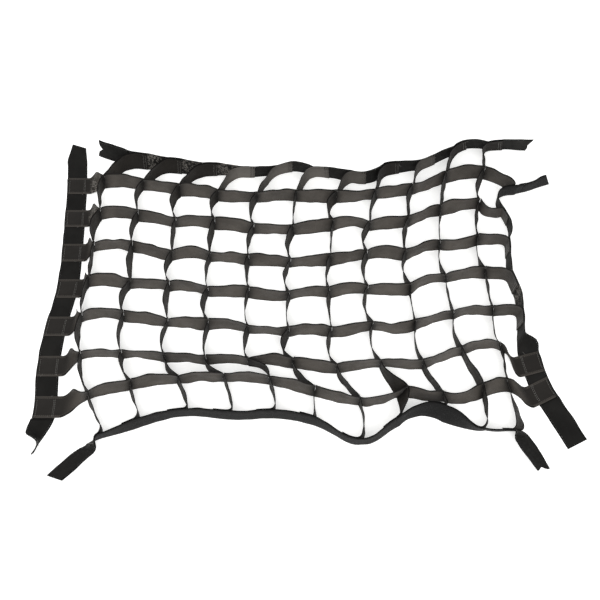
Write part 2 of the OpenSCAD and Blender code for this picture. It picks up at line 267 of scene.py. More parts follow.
def flat_end(route, i, t):
    """A row end that lies flat across a border that lies flat."""
    low, tilt, run = on_border(route, i, t, TAB_OFFSET)
    away = run * math.copysign(STRIP_H, run.y)
    out = Vector((tilt.x, tilt.y, 0)).normalized()
    first, last = low - out * FLAT_LEAD - away / 2, low + tilt * FLAT_COVER - away / 2
    return [(first.lerp(last, s), away, out) for s in np.linspace(0, 1, 8)]


def turned_back(end):
    return [(low, tilt, -run) for low, tilt, run in reversed(end)]


def row_bow(row, column):
    if (row, column) in ROW_BOWS:
        return ROW_BOWS[row, column]
    return 0 if column == COLUMNS else 0.4 + 0.3 * wobble(3 * column, row)


def column_bow(column, row):
    if (column, row) in COLUMN_BOWS:
        return COLUMN_BOWS[column, row]
    return {ROWS: 0, ROWS - 1: -0.15}.get(row, -0.55)


# ---------------------------------------------------------------------------
# Ribbons of cloth along the lay
# ---------------------------------------------------------------------------

STEP = 4.0          # spacing of the rings along a ribbon
SLOT_HALF = 0.5     # half width of the slot that shows at a crossing
SLOT_SLOPE = 0.25
FLARE = 2.2         # how far the cloth beside a slot swings out at its edge
FLARE_REACH = 6.0   # and over what length that dies away
SEAL_AND_SHADE_REACH = 7.0    # the cloth beside a slot is dark over this length: its sealed cut edge, and painted shade
LAP = 8.0           # how far a tail's cloth reaches past its fold into the border

# Half of each cross-section, from the lower edge to the upper one, as a share
# of the height and an offset from the middle: a strip has a hem at each edge
STRIP_PROFILE = ((0.0, 0.3), (0.02, 0.6), (0.11, 0.6), (0.125, 0.38), (0.32, 0.38),
                 (0.5, 0.38), (0.68, 0.38), (0.875, 0.38), (0.89, 0.6), (0.98, 0.6),
                 (1.0, 0.3))
BORDER_PROFILE = ((0.0, 0.3), (0.02, 0.5), (0.1, 0.5), (0.115, 0.4), (0.32, 0.4),
                  (0.5, 0.4), (0.68, 0.4), (0.885, 0.4), (0.9, 0.5), (0.98, 0.5),
                  (1.0, 0.3))
# Around a hook tape: thin selvedges, and a thicker pad of hooks between them
TAPE_FROM = CLOTH_T / 2 + SEWN_GAP
TAPE_RING = ((0.03, 0.02), (0.1, 0), (0.115, 0), (0.3, 0), (0.5, 0), (0.7, 0), (0.885, 0),
             (0.9, 0), (0.97, 0.02), (0.972, 0.4), (0.9, 0.45), (0.885, TAPE_T),
             (0.7, TAPE_T), (0.5, TAPE_T), (0.3, TAPE_T), (0.115, TAPE_T), (0.1, 0.45),
             (0.028, 0.4))


def closed_ring(half):
    """Both faces of a cross-section, from its half."""
    back = [(share, -offset) for share, offset in reversed(half)]
    return [*half, *back]


class Station:
    """One place along a strip: its cloth, and how that cloth is held and coloured.

    Slack is 1 where the cloth may wrinkle and 0 where a crossing or seam holds it.
    Flare is how far the cut half swings out beside a slot. Shade is above 0 where
    the cloth is worn pale and below 0 where it is painted darker, as painted shade on the row ends,
    over the columns and beside the slots. Fuzz is 1 on a patch of loops.
    """

    def __init__(self, low, lean, limits=(0.0, 1.0), slack=0.0, flare=0.0, shade=0.0, fuzz=0.0):
        self.low = tuple(low - CENTRE)
        self.lean = tuple(lean)
        self.limits = limits
        self.slack = slack
        self.flare = flare
        self.shade = shade
        self.fuzz = fuzz


class Ribbon:
    """Cloth along stations, cut from its upper edge or from its lower edge."""

    def __init__(self, stations, seed, depth, cut_above=True):
        self.low = np.array([s.low for s in stations])
        self.lean = np.array([s.lean for s in stations])
        self.limits = np.array([s.limits for s in stations])
        self.slack = np.array([s.slack for s in stations])
        self.flare = np.array([s.flare for s in stations])
        self.shade = np.array([s.shade for s in stations])
        self.fuzz = np.array([s.fuzz for s in stations])
        self.seed = seed
        self.depth = depth
        self.cut_above = cut_above
        middle = self.low + self.lean / 2
        run = np.gradient(middle, axis=0)
        normal = np.cross(self.lean, run)
        self.normal = normal / np.linalg.norm(normal, axis=1)[:, None]
        steps = np.linalg.norm(np.diff(middle, axis=0), axis=1)
        self.u = np.concatenate([[0.0], np.cumsum(steps)])
        self.length = float(self.u[-1])

    def wrinkle(self, u, v):
        """Normal offset of the cloth at u along and share v up, where it is slack."""
        broad = noise.noise(Vector((u / 38, v * 0.9, self.seed)))
        fine = noise.noise(Vector((u / 13, v * 2.4, self.seed + 50)))
        edge = noise.noise(Vector((u / 21, 3.7 if v > 0.5 else 8.1, self.seed + 90)))
        return self.depth * (1.2 * broad + 0.4 * fine + 1.6 * edge * (2 * v - 1) ** 2)

    def swing(self, i, v):
        """Normal offset of the cut half of the cloth beside a slot."""
        far = max(0.0, 2 * v - 1) if self.cut_above else max(0.0, 1 - 2 * v)
        return self.flare[i] * ease(min(1.0, far * 1.4))

    def at(self, u, v, offset):
        """A point on the cloth at a length u, a share v up and an offset outwards."""
        low, tilt, normal = (np.array([np.interp(u, self.u, a[:, k]) for k in range(3)])
                             for a in (self.low, self.lean, self.normal))
        slack = float(np.interp(u, self.u, self.slack))
        normal /= np.linalg.norm(normal)
        return low + tilt * v + normal * (offset + slack * self.wrinkle(u, v))

    def tip_shift(self, i, v):
        """How the cut end of a free tail moves along its run; a plain strip has none."""
        return 0.0

    def mesh(self, name, ring, material):
        """Closed ribbon with this cross-section, with lengths in metres as its UVs."""
        verts, uvs, shades = [], [], []
        for i, u in enumerate(self.u):
            lo, hi = self.limits[i]
            sway = 0.09 * noise.noise(Vector((u / 26, 0.3, self.seed + 20))) * self.slack[i]
            for share, offset in ring:
                v = lo + (hi - lo) * share
                push = offset + self.slack[i] * self.wrinkle(u, v) + self.swing(i, v)
                spot = self.low[i] + self.lean[i] * v * (1 + sway) + self.normal[i] * push
                verts.append((spot + self.tip_shift(i, v)) * MM)
                uvs.append((u * MM, v * STRIP_H * MM))
                shades.append((self.shade[i], self.fuzz[i], 0.0))
        k, n = len(ring), len(self.u)
        faces = [(i * k + j, i * k + (j + 1) % k, (i + 1) * k + (j + 1) % k, (i + 1) * k + j)
                 for i in range(n - 1) for j in range(k)]
        for j in range(k // 2 - 1):
            cap = (j, j + 1, k - 2 - j, k - 1 - j)
            faces.append(cap[::-1])
            faces.append(tuple((n - 1) * k + a for a in cap))
        return make_object(name, verts, faces, material, uvs, shades)


def make_object(name, verts, faces, material, uvs=None, shades=None):
    """A smooth mesh object with outward faces, in the scene."""
    mesh = bpy.data.meshes.new(name)
    mesh.from_pydata([tuple(v) for v in verts], [], faces)
    if uvs is not None:
        layer = mesh.uv_layers.new(name="cloth")
        flat = [uvs[loop.vertex_index] for loop in mesh.loops]
        layer.data.foreach_set("uv", [x for pair in flat for x in pair])
        shade = mesh.attributes.new("shade", "FLOAT_VECTOR", "POINT")
        shade.data.foreach_set("vector", [x for triple in shades for x in triple])
    mesh.polygons.foreach_set("use_smooth", [True] * len(mesh.polygons))
    mesh.materials.append(material)
    mesh.validate()
    obj = bpy.data.objects.new(name, mesh)
    bpy.context.scene.collection.objects.link(obj)
    return obj


class Look:
    """How a strip is cut, swung and coloured along its bays."""

    def __init__(self, slot, seed, shade, end_shades, fuzzy=()):
        self.slot = slot
        self.seed = seed
        self.shade = shade
        self.end_shades = end_shades
        self.fuzzy = fuzzy

    def flare(self, i, t, c, first, last):
        """Swing beside the slots at both ends of bay i, dying away along it."""
        swing = 0.0
        if not first:
            swing += FLARE * wobble(self.seed + i, 2) * math.exp(-t * c / FLARE_REACH)
        if not last:
            swing += FLARE * wobble(self.seed + i + 1, 2) * math.exp((t - 1) * c / FLARE_REACH)
        return swing

    def sealing_and_shade(self, t, c, first, last):
        """How dark the cloth is near the slots at the ends of a bay: partly its heat-sealed cut
        edges, partly painted shade.
        """
        before = 0.0 if first else math.exp(-(t * c / SEAL_AND_SHADE_REACH) ** 2)
        after = 0.0 if last else math.exp(-((1 - t) * c / SEAL_AND_SHADE_REACH) ** 2)
        return before + after


def bay_stations(knots, i, side, twist, look, first, last):
    """Stations of one bay, with half of a slot at the ends that cross."""
    c = (knots[i + 1][0] - knots[i][0]).length
    a, b = SLOT_HALF / c, (SLOT_HALF + SLOT_SLOPE) / c
    start, end = (0.0 if first else b), (1.0 if last else 1 - b)
    count = max(6, round(c / STEP))
    found = []
    for t in map(float, np.linspace(start, end, count + 1)):
        low, tilt = between(knots, i, t, side, twist)
        faded = (look.end_shades[0] * ease(1 - t) if first
                 else look.end_shades[1] * ease(t) if last else look.shade)
        # Its shade mark: the end marks fading out, darkened beside each slot by its sealed edge and
        # painted shade
        found.append(Station(low, tilt, slack=arch(t) ** 0.7,
                             flare=look.flare(i, t, c, first, last),
                             shade=max(-1.0, faded - look.sealing_and_shade(t, c, first, last)),
                             fuzz=arch(t) if i in look.fuzzy else 0.0))
    # The cloth at each slot's edge is painted fully dark: painted shade in the slot
    if not first:
        found.insert(0, Station(*between(knots, i, a, side, twist), look.slot, shade=-1.0))
    if not last:
        found.append(Station(*between(knots, i, 1 - a, side, twist), look.slot, shade=-1.0))
    return found


def seam_shade(shade, distance):
    """A pale strip end has dark lines across it at its cut edge and where its seams pull it in:
    painted shade of those grooves.
    """
    in_seam = 2.0 < distance < 3.6 or 6.4 < distance < 8.0 or distance < 0.8
    return shade * 0.15 if shade > 0 and in_seam else shade


def sewn_stations(end, shade, cut_last):
    """Stations of a sewn end: its shade, with its seams counted from its cut edge."""
    cut = end[-1] if cut_last else end[0]
    return [Station(low, tilt, shade=seam_shade(shade, (low - cut[0]).length))
            for low, tilt, _ in end]


def strip_stations(start, crossings, end, bows, twists, look):
    """Stations of a whole strip between its two sewn ends."""
    knots = [start[-1], *crossings, end[0]]
    last = len(knots) - 2
    found = sewn_stations(start, look.end_shades[0], False)[:-1]
    for i in range(last + 1):
        found += bay_stations(knots, i, bows[i], twists[i], look, i == 0, i == last)
    return found + sewn_stations(end, look.end_shades[1], True)[1:]


def row_ribbon(row, depth):
    knot = right_knot(row)
    right = (turned_end(ROUTES["right"], knot) if row < RIGHT_FLAT_ROW
             else flat_end(ROUTES["right"], knot, RIGHT_FLAT_SHARE * (row == RIGHT_FLAT_ROW)))
    stations = strip_stations(
        turned_back(flat_end(ROUTES["left"], left_knot(row), 0)),
        [crossing(row, c) for c in range(1, COLUMNS + 1)],
        right,
        [0, *(row_bow(row, c) for c in range(1, COLUMNS + 1))],
        [0, *(4 * wobble(c + 1, row) for c in range(1, COLUMNS)), 0],
        # The row ends are painted dark: painted shade, fullest on the ends that lie flat on the
        # borders
        Look((0.0, 0.48), 11 * row, 0.0, (-1.0, -1.0 if row >= RIGHT_FLAT_ROW else -0.5),
             (0,) if row < 3 else ()))
    return Ribbon(stations, 10 * row, depth)


# Columns whose ends on the back border are paler than the rest
PALE_TABS = {4: 1.0, 5: 0.7, 6: 0.9, 7: 0.6, 9: 0.5}
# Painted shade over every column: their sideways faces catch less light than the rows
COLUMN_SHADE = -0.35


def column_ribbon(column, depth):
    stations = strip_stations(
        turned_back(turned_end(ROUTES["back"], back_knot(column))),
        [crossing(r, column) for r in range(1, ROWS + 1)],
        turned_end(ROUTES["front"], front_knot(column)),
        [0, *(column_bow(column, r) for r in range(1, ROWS + 1))],
        [0, *(-4 - 4 * wobble(column, r + 1) for r in range(1, ROWS)), 0],
        # Each column is painted darker by COLUMN_SHADE; its back end is pale where PALE_TABS lists
        # it and painted darker elsewhere, and its front end painted darker
        Look((0.52, 1.0), 7 * column, COLUMN_SHADE, (PALE_TABS.get(column, -0.7), -0.8)))
    return Ribbon(stations, 300 + 10 * column, depth, cut_above=False)


# Stretches of the borders whose inner face has patches of loops
FUZZY = {"back": ((2.3, 3.1), (3.3, 4.1), (4.3, 5.1)), "right": ((4.9, 5.9),)}


def fuzz_at(side, place):
    """How thick the loops are at a place along a border."""
    return max((arch((place - a) / (b - a)) for a, b in FUZZY.get(side, ()) if a < place < b),
               default=0.0)


def route_stations(side, start, end):
    """Places from start to end along a border, each a knot plus a share, with stations."""
    route = ROUTES[side]
    found = []
    for i in range(int(start), math.ceil(end)):
        lo, hi = max(start - i, 0.0), min(end - i, 1.0)
        count = max(2, round((hi - lo) * chord(route, i) / STEP))
        for t in np.linspace(lo, hi, count + 1)[:None if hi < 1 or i + 1 >= end else -1]:
            low, tilt = border_at(route, i, float(t))
            place = i + float(t)
            found.append((place, Station(low, tilt, slack=0.45, fuzz=fuzz_at(side, place))))
    return found


def border_ends(side):
    """Where a border's own cloth starts and ends: a lap inside each fold."""
    route = ROUTES[side]
    n = len(route[0]) - 1
    return 1 + LAP / chord(route, 1), n - 1 - LAP / chord(route, n - 2), n


# How the tails end: the length of the part that changes, the limits at the tip,
# how much further the lower edge and the upper edge reach, and the depth of a
# notch between them
TIPS = {"left_front": (60, 0.0, 0.42, 0, 0, 0), "left_back": (42, 0.08, 0.76, -7, 2, 0),
        "back_left": (42, -0.04, 1.04, 1, 0, 9), "back_right": (42, -0.12, 1.0, -4, 5, 4),
        "right_back": (42, 0.0, 1.0, 2, -3, 0), "front_left": (42, 0.0, 1.0, -7, 6, 0),
        "front_right": (42, 0.1, 0.86, 2, -2, 6)}


class Band(Ribbon):
    """A border's cloth, or a tail's, with the place in the route of each station."""

    def __init__(self, side, start, end, depth, tip=None):
        stations = route_stations(side, start, end)
        super().__init__([s for _, s in stations], 700 + 40 * SIDES.index(side), depth)
        self.places = np.array([place for place, _ in stations])
        self.u += self.places[0] * CELL
        self.tip = tip
        self.first = start == 0.0
        if tip:
            for i in range(len(self.limits)):
                near = self.tip_share(i)
                self.limits[i] = (tip[1] * near, 1 - (1 - tip[2]) * near)

    def tip_share(self, i):
        """0 along the tail's root, rising to 1 at its cut end."""
        distance = self.u[i] - self.u[0] if self.first else self.u[-1] - self.u[i]
        return max(0.0, 1 - distance / self.tip[0])

    def tip_shift(self, i, v):
        if not self.tip:
            return 0.0
        *_, low_reach, high_reach, notch = self.tip
        reach = mix(low_reach, high_reach, v) - notch * max(0.0, 1 - abs(v - 0.5) * 4)
        run = np.gradient(self.low, axis=0)[i]
        away = (-run if self.first else run) / np.linalg.norm(run)
        return away * (reach * self.tip_share(i) ** 2)

    def length_at(self, place):
        return float(np.interp(place, self.places, self.u))


def border_band(side, depth):
    start, end, _ = border_ends(side)
    return Band(side, start, end, depth)


def tail_band(side, first, depth):
    start, end, n = border_ends(side)
    tip = TIPS.get(f"{side}_{TAIL_ENDS[side][0 if first else 1]}")
    return (Band(side, 0.0, start, depth, tip) if first
            else Band(side, end, float(n), depth, tip))


def tail_names():
    """(side, whether it is the first tail, name) of each free tail."""
    return [(side, e == 0, f"{side}_{TAIL_ENDS[side][e]}") for side in SIDES for e in (0, 1)]


def bend_tail(piece):
    """Bakes the piece's transform into its mesh; its bend at the fold comes from the route it was
    built along.
    """
    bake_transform(piece)


# ---------------------------------------------------------------------------
# Thread
# ---------------------------------------------------------------------------

class Threads:
    """Thin tubes of thread, gathered into one mesh."""

    FACETS = 5

    def __init__(self):
        self.verts = []
        self.faces = []

    def add(self, points, radius):
        """A closed tube along points in millimetres, thinner at its two ends."""
        points = np.asarray(points, float)
        runs = np.gradient(points, axis=0)
        base, k, n = len(self.verts), self.FACETS, len(points)
        for i, (p, run) in enumerate(zip(points, runs)):
            run = Vector(run).normalized()
            side = run.orthogonal().normalized() if i == 0 else (side - run * side.dot(run))
            side.normalize()
            other = run.cross(side)
            r = radius * (0.55 if i in (0, n - 1) else 1.0)
            for j in range(k):
                a = 2 * math.pi * j / k
                ring = side * (r * math.cos(a)) + other * (r * math.sin(a))
                self.verts.append((np.array(p) + np.array(ring)) * MM)
        for i in range(n - 1):
            for j in range(k):
                a, b = base + i * k + j, base + i * k + (j + 1) % k
                self.faces.append((a, b, b + k, a + k))
        self.faces.append(tuple(base + j for j in range(k - 1, -1, -1)))
        self.faces.append(tuple(base + (n - 1) * k + j for j in range(k)))

    def stitch(self, ribbon, start, end, offset, radius):
        """One stitch from (u, v) to (u, v) of a ribbon, humped over its cloth."""
        sign = math.copysign(1, offset)
        places = [(0, -0.1), (0.2, 0.16), (0.5, 0.24), (0.8, 0.16), (1, -0.1)]
        self.add([ribbon.at(mix(start[0], end[0], s), mix(start[1], end[1], s),
                            offset + sign * rise) for s, rise in places], radius)

    def stray(self, root, way, length, dice, radius):
        """A loose end of thread that curls away from its root."""
        way = Vector(way).normalized()
        sag = Vector((dice.uniform(-1, 1), dice.uniform(-1, 1), dice.uniform(-0.6, 0.5)))
        points = [Vector(root) + way * (length * s) + sag * (length * 0.4 * s * s)
                  for s in (0, 0.2, 0.4, 0.6, 0.8, 1)]
        self.add([tuple(p) for p in points], radius)

    def object(self, name, material):
        return make_object(name, self.verts, self.faces, material)


# ---------------------------------------------------------------------------
# Materials
# ---------------------------------------------------------------------------

class Nodes:
    """A material's node tree, with short calls for its nodes and links."""

    def __init__(self, name):
        self.material = bpy.data.materials.new(name)
        self.material.use_nodes = True
        self.tree = self.material.node_tree
        self.shader = self.tree.nodes["Principled BSDF"]

    def new(self, kind, **settings):
        node = self.tree.nodes.new(kind)
        for key, value in settings.items():
            setattr(node, key, value)
        return node

    def put(self, value, socket):
        """A number, colour or output into an input socket."""
        if isinstance(value, bpy.types.NodeSocket):
            self.tree.links.new(value, socket)
        else:
            socket.default_value = value

    def math(self, operation, *values):
        node = self.new("ShaderNodeMath", operation=operation)
        for value, socket in zip(values, node.inputs):
            self.put(value, socket)
        return node.outputs[0]

    def blend(self, share, a, b):
        """Two colours mixed by a share."""
        node = self.new("ShaderNodeMix", data_type="RGBA")
        self.put(share, node.inputs["Factor"])
        for value, socket in zip((a, b), (node.inputs[6], node.inputs[7])):
            self.put((*value, 1) if isinstance(value, tuple) else value, socket)
        return node.outputs[2]

    def noise(self, vector, scale, detail=3.0, roughness=0.55):
        node = self.new("ShaderNodeTexNoise")
        self.put(vector, node.inputs["Vector"])
        node.inputs["Scale"].default_value = scale
        node.inputs["Detail"].default_value = detail
        node.inputs["Roughness"].default_value = roughness
        return node.outputs[0]

    def band(self, vector, period, direction):
        """Threads of a weave, one every period, across one direction."""
        node = self.new("ShaderNodeTexWave", bands_direction=direction)
        self.put(vector, node.inputs["Vector"])
        node.inputs["Scale"].default_value = 2 * math.pi / (20 * period)
        node.inputs["Distortion"].default_value = 0.4
        return node.outputs["Fac"]

    def bump(self, height, distance, normal=None):
        node = self.new("ShaderNodeBump")
        node.inputs["Distance"].default_value = distance
        self.put(height, node.inputs["Height"])
        if normal is not None:
            self.put(normal, node.inputs["Normal"])
        return node.outputs[0]

    def remap(self, value, low, high, to_low, to_high):
        node = self.new("ShaderNodeMapRange")
        for number, socket in zip((value, low, high, to_low, to_high), node.inputs):
            self.put(number, socket)
        return node.outputs[0]


def tint(colour, factor):
    return tuple(min(1.0, c * factor) for c in colour)


def woven_cloth(name, colour, pale, sheen, roughness, gloss, stitched):
    """Woven nylon: a plain weave, darker hems with a line of stitches, worn patches; painted shade
    where its shade mark is below 0, a painted shadow along its rims, and on the darkest ends a
    painted highlight there instead.
    """
    n = Nodes(name)
    coords = n.new("ShaderNodeTexCoord")
    uv = coords.outputs["UV"]
    place = coords.outputs["Object"]
    split = n.new("ShaderNodeSeparateXYZ")
    n.put(uv, split.inputs[0])
    along, across = split.outputs[0], split.outputs[1]
    weave = n.math("MULTIPLY", n.band(uv, 0.0009, "X"), n.band(uv, 0.0009, "Y"))
    cloudy = n.noise(place, 22, 4)
    fibres = n.noise(uv, 900, 2)
    middle = n.math("ABSOLUTE", n.math("SUBTRACT", across, STRIP_H / 2 * MM))
    hem = n.remap(middle, 0.0138, 0.0150, 0.0, 1.0)
    rim_hem_and_painted_light = n.remap(middle, 0.0150, 0.0176, 0.0, 1.0)
    base = n.blend(n.remap(cloudy, 0.35, 0.68, 0.0, 1.0), tint(colour, 0.72), tint(colour, 1.35))
    base = n.blend(n.remap(fibres, 0.3, 0.75, 0.0, 0.35), base, tint(colour, 1.9))
    base = n.blend(n.math("MULTIPLY", hem, 0.3), base, tint(colour, 0.5))
    marks = n.new("ShaderNodeSeparateXYZ")
    n.put(n.new("ShaderNodeAttribute", attribute_name="shade").outputs["Vector"], marks.inputs[0])
    shade, fuzz = marks.outputs[0], marks.outputs[1]
    # Painted shade: where the shade mark is below 0 the cloth is painted towards a much darker copy
    # of its colour
    dark = n.math("MULTIPLY", n.math("MAXIMUM", n.math("MULTIPLY", shade, -1.0), 0.0), 0.93)
    base = n.blend(dark, base, tint(colour, 0.18))
    # Along the rims the cloth is painted near black, partly the hem's own dark edge and partly
    # painted shadow; where the cloth is painted darkest the rim is a painted highlight line instead
    lit_edge = n.math("GREATER_THAN", dark, 0.92)
    edge = n.blend(lit_edge, tint(colour, 0.06), tint(colour, 0.8))
    base = n.blend(n.math("MULTIPLY", rim_hem_and_painted_light, 0.9), base, edge)
    base = n.blend(n.math("MAXIMUM", shade, 0.0), base, pale)
    loops = n.remap(n.noise(place, 330, 2), 0.46, 0.56, 0.0, 1.0)
    patch = n.remap(n.noise(place, 90, 2), 0.36, 0.5, 0.0, 1.0)
    loops = n.math("MULTIPLY", n.math("MULTIPLY", loops, patch), fuzz)
    base = n.blend(n.math("MULTIPLY", loops, 0.9), base, tint(pale, 1.5))
    height = n.math("ADD", weave, n.math("MULTIPLY", fibres, 0.6))
    height = n.math("ADD", height, n.math("MULTIPLY", loops, 4.0))
    if stitched:
        line = n.math("LESS_THAN", n.math("ABSOLUTE", n.math("SUBTRACT", middle, 0.0152)), 0.00028)
        beat = n.math("LESS_THAN", n.math("FRACT", n.math("DIVIDE", along, 0.0032)), 0.72)
        seam = n.math("MULTIPLY", line, beat)
        base = n.blend(n.math("MULTIPLY", seam, 0.6), base, tint(colour, 2.2))
        height = n.math("ADD", height, n.math("MULTIPLY", seam, 1.5))
    n.put(base, n.shader.inputs["Base Color"])
    rough = n.remap(n.noise(place, 60, 3), 0.3, 0.7, roughness - 0.08, roughness + 0.1)
    n.put(rough, n.shader.inputs["Roughness"])
    crease = n.bump(n.noise(place, 140, 5, 0.6), 0.0006)
    n.put(n.bump(height, 0.00012, crease), n.shader.inputs["Normal"])
    n.shader.inputs["Sheen Weight"].default_value = sheen
    n.shader.inputs["Sheen Roughness"].default_value = 0.4
    n.shader.inputs["Specular IOR Level"].default_value = gloss
    return n.material


def hooked_tape(name, colour):
    """Hook tape: rows of tiny hooks between two woven selvedges."""
    n = Nodes(name)
    coords = n.new("ShaderNodeTexCoord")
    uv = coords.outputs["UV"]
    split = n.new("ShaderNodeSeparateXYZ")
    n.put(uv, split.inputs[0])
    middle = n.math("ABSOLUTE", n.math("SUBTRACT", split.outputs[1], STRIP_H / 2 * MM))
    pad = n.remap(middle, 0.0142, 0.0150, 1.0, 0.0)
    dots = n.new("ShaderNodeTexVoronoi")
    n.put(uv, dots.inputs["Vector"])
    dots.inputs["Scale"].default_value = 620
    hook = n.remap(dots.outputs["Distance"], 0.1, 0.5, 1.0, 0.0)
    weave = n.math("MULTIPLY", n.band(uv, 0.0011, "X"), n.band(uv, 0.0011, "Y"))
    base = n.blend(n.noise(coords.outputs["Object"], 40, 3), tint(colour, 0.7), tint(colour, 1.3))
    # The hooks are painted paler than the tape: a painted highlight on their tips
    base = n.blend(n.math("MULTIPLY", n.math("MULTIPLY", hook, pad), 0.5), base, tint(colour, 2.2))
    n.put(base, n.shader.inputs["Base Color"])
    height = n.math("ADD", n.math("MULTIPLY", hook, pad), n.math("MULTIPLY", weave, 0.3))
    n.put(n.bump(height, 0.0004), n.shader.inputs["Normal"])
    n.put(n.remap(hook, 0.0, 1.0, 0.85, 0.65), n.shader.inputs["Roughness"])
    n.shader.inputs["Specular IOR Level"].default_value = 0.1
    n.shader.inputs["Sheen Weight"].default_value = 0.02
    return n.material


def twisted_thread(name, colour):
    """Sewing thread: fine twisted plies with a little fuzz."""
    n = Nodes(name)
    place = n.new("ShaderNodeTexCoord").outputs["Object"]
    plies = n.noise(place, 2600, 2)
    n.put(n.blend(plies, tint(colour, 0.6), tint(colour, 1.5)), n.shader.inputs["Base Color"])
    n.put(n.bump(plies, 0.0001), n.shader.inputs["Normal"])
    n.put(n.remap(plies, 0.3, 0.7, 0.5, 0.8), n.shader.inputs["Roughness"])
    n.shader.inputs["Sheen Weight"].default_value = 0.4
    return n.material


def pale_floor(name, colour, glow):
    """Plain matt white floor with the faintest unevenness, lit from below too."""
    n = Nodes(name)
    n.shader.inputs["Emission Color"].default_value = (*colour, 1)
    n.shader.inputs["Emission Strength"].default_value = glow
    place = n.new("ShaderNodeTexCoord").outputs["Object"]
    cloudy = n.noise(place, 6, 2)
    n.put(n.blend(cloudy, tint(colour, 0.99), colour), n.shader.inputs["Base Color"])
    n.shader.inputs["Roughness"].default_value = 0.9
    n.shader.inputs["Specular IOR Level"].default_value = 0.1
    return n.material


MADE = {}


def material(key):
    """The material with this key, made once from the settings."""
    if key not in MADE:
        s = bpy.context.scene.softbox_grid
        pale = tuple(s.pale_colour)
        recipes = {
            "row": lambda: woven_cloth("row_nylon", tuple(s.strip_colour), pale,
                                       0.05, 0.6, 0.14, True),
            # The columns' cloth is the rows' cloth painted half as bright: painted shade on their
            # sideways faces
            "column": lambda: woven_cloth("column_nylon_painted_shade", tint(tuple(s.strip_colour), 0.5), pale,
                                          0.02, 0.75, 0.1, True),
            "border": lambda: woven_cloth("border_nylon", tuple(s.border_colour), pale,
                                          0.01, 0.7, 0.09, False),
            "tape": lambda: hooked_tape("hook_tape_black", tuple(s.tape_colour)),
            "thread": lambda: twisted_thread("thread_grey", tuple(s.thread_colour)),
            "dark_thread": lambda: twisted_thread("thread_dark", tint(tuple(s.thread_colour), 0.3)),
        }
        MADE[key] = recipes[key]()
    return MADE[key]


# ---------------------------------------------------------------------------
# Settings
# ---------------------------------------------------------------------------

class GridSettings(bpy.types.PropertyGroup):
    """Colours and sizes of the net's cloth and thread."""

    strip_colour: FloatVectorProperty(
        name="Strip colour", description="Satin nylon of the rows and columns",
        subtype="COLOR", size=3, min=0, max=1, default=(0.060, 0.053, 0.046))
    border_colour: FloatVectorProperty(
        name="Border colour", description="Matt nylon of the borders and tails",
        subtype="COLOR", size=3, min=0, max=1, default=(0.0085, 0.0082, 0.0075))
    tape_colour: FloatVectorProperty(
        name="Hook tape colour", description="Hook tape on the outer faces of the borders",
        subtype="COLOR", size=3, min=0, max=1, default=(0.008, 0.008, 0.008))
    thread_colour: FloatVectorProperty(
        name="Thread colour", description="Thread of the seams",
        subtype="COLOR", size=3, min=0, max=1, default=(0.11, 0.105, 0.095))
    pale_colour: FloatVectorProperty(
        name="Worn colour", description="Strip ends that are paler than the rest",
        subtype="COLOR", size=3, min=0, max=1, default=(0.13, 0.12, 0.108))
    wrinkle_depth: FloatProperty(
        name="Wrinkle depth", description="How deep the slack cloth wrinkles, in millimetres",
        default=1.5, min=0, max=3)
    thread_radius: FloatProperty(
        name="Thread radius", description="Radius of the sewing thread",
        default=0.00026, min=0.0001, max=0.0006, unit="LENGTH", subtype="DISTANCE")
    stitch_pitch: FloatProperty(
        name="Stitch pitch", description="Distance from one stitch to the next",
        default=0.0034, min=0.002, max=0.008, unit="LENGTH", subtype="DISTANCE")


class StudioSettings(bpy.types.PropertyGroup):
    """Floor, light and camera."""

    floor_colour: FloatVectorProperty(
        name="Floor colour", description="Plain pale floor",
        subtype="COLOR", size=3, min=0, max=1, default=(0.94, 0.94, 0.93))
    floor_glow: FloatProperty(
        name="Floor glow", description="Light that comes up through the white floor",
        default=0.5, min=0, max=2)
    dome_strength: FloatProperty(
        name="Dome strength", description="Even light from all round", default=0.45, min=0, max=5)
    key_power: FloatProperty(
        name="Key power", description="Power of the large soft light in front",
        default=46.0, min=0, max=500, unit="POWER")
    camera_distance: FloatProperty(
        name="Camera distance", description="From the camera to the middle of the net",
        default=1.47, min=0.5, max=5, unit="LENGTH", subtype="DISTANCE")
    camera_elevation: FloatProperty(
        name="Camera elevation", description="Angle of the camera above the floor",
        default=math.radians(60), min=0, max=math.pi / 2, subtype="ANGLE")
    camera_lens: FloatProperty(
        name="Camera lens", description="Focal length on a 36 mm wide sensor",
        default=50.0, min=10, max=200, unit="CAMERA")


# ---------------------------------------------------------------------------
# Operators, one for each group of like pieces
# ---------------------------------------------------------------------------

FLOOR = "floor"


def declare_strip(node):
    """A strip of cloth that replaces its plain node and lies in the net."""
    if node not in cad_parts:
        raise RuntimeError(f"the packed model has no node {node}")
    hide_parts(node)


class SOFTGRID_OT_row_strips(bpy.types.Operator):
    """Builds the strips that run the long way, with slots from above"""

    bl_idname = "softgrid.row_strips"
    bl_label = "Row strips"

    def execute(self, context):
        depth = context.scene.softbox_grid.wrinkle_depth
        for row in range(1, ROWS + 1):
            ribbon = row_ribbon(row, depth)
            piece = ribbon.mesh(f"row_cloth_{row}", closed_ring(STRIP_PROFILE), material("row"))
            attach(piece, "root")
            declare_strip(f"row_strip_{row}")
        return {"FINISHED"}


class SOFTGRID_OT_column_strips(bpy.types.Operator):
    """Builds the strips that run the short way, with slots from below"""

    bl_idname = "softgrid.column_strips"
    bl_label = "Column strips"

    def execute(self, context):
        depth = context.scene.softbox_grid.wrinkle_depth
        for column in range(1, COLUMNS + 1):
            ribbon = column_ribbon(column, depth)
            piece = ribbon.mesh(f"column_cloth_{column}", closed_ring(STRIP_PROFILE),
                                material("column"))
            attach(piece, "root")
            declare_strip(f"column_strip_{column}")
        return {"FINISHED"}


def tape_ring():
    return [(share, TAPE_FROM + offset) for share, offset in TAPE_RING]


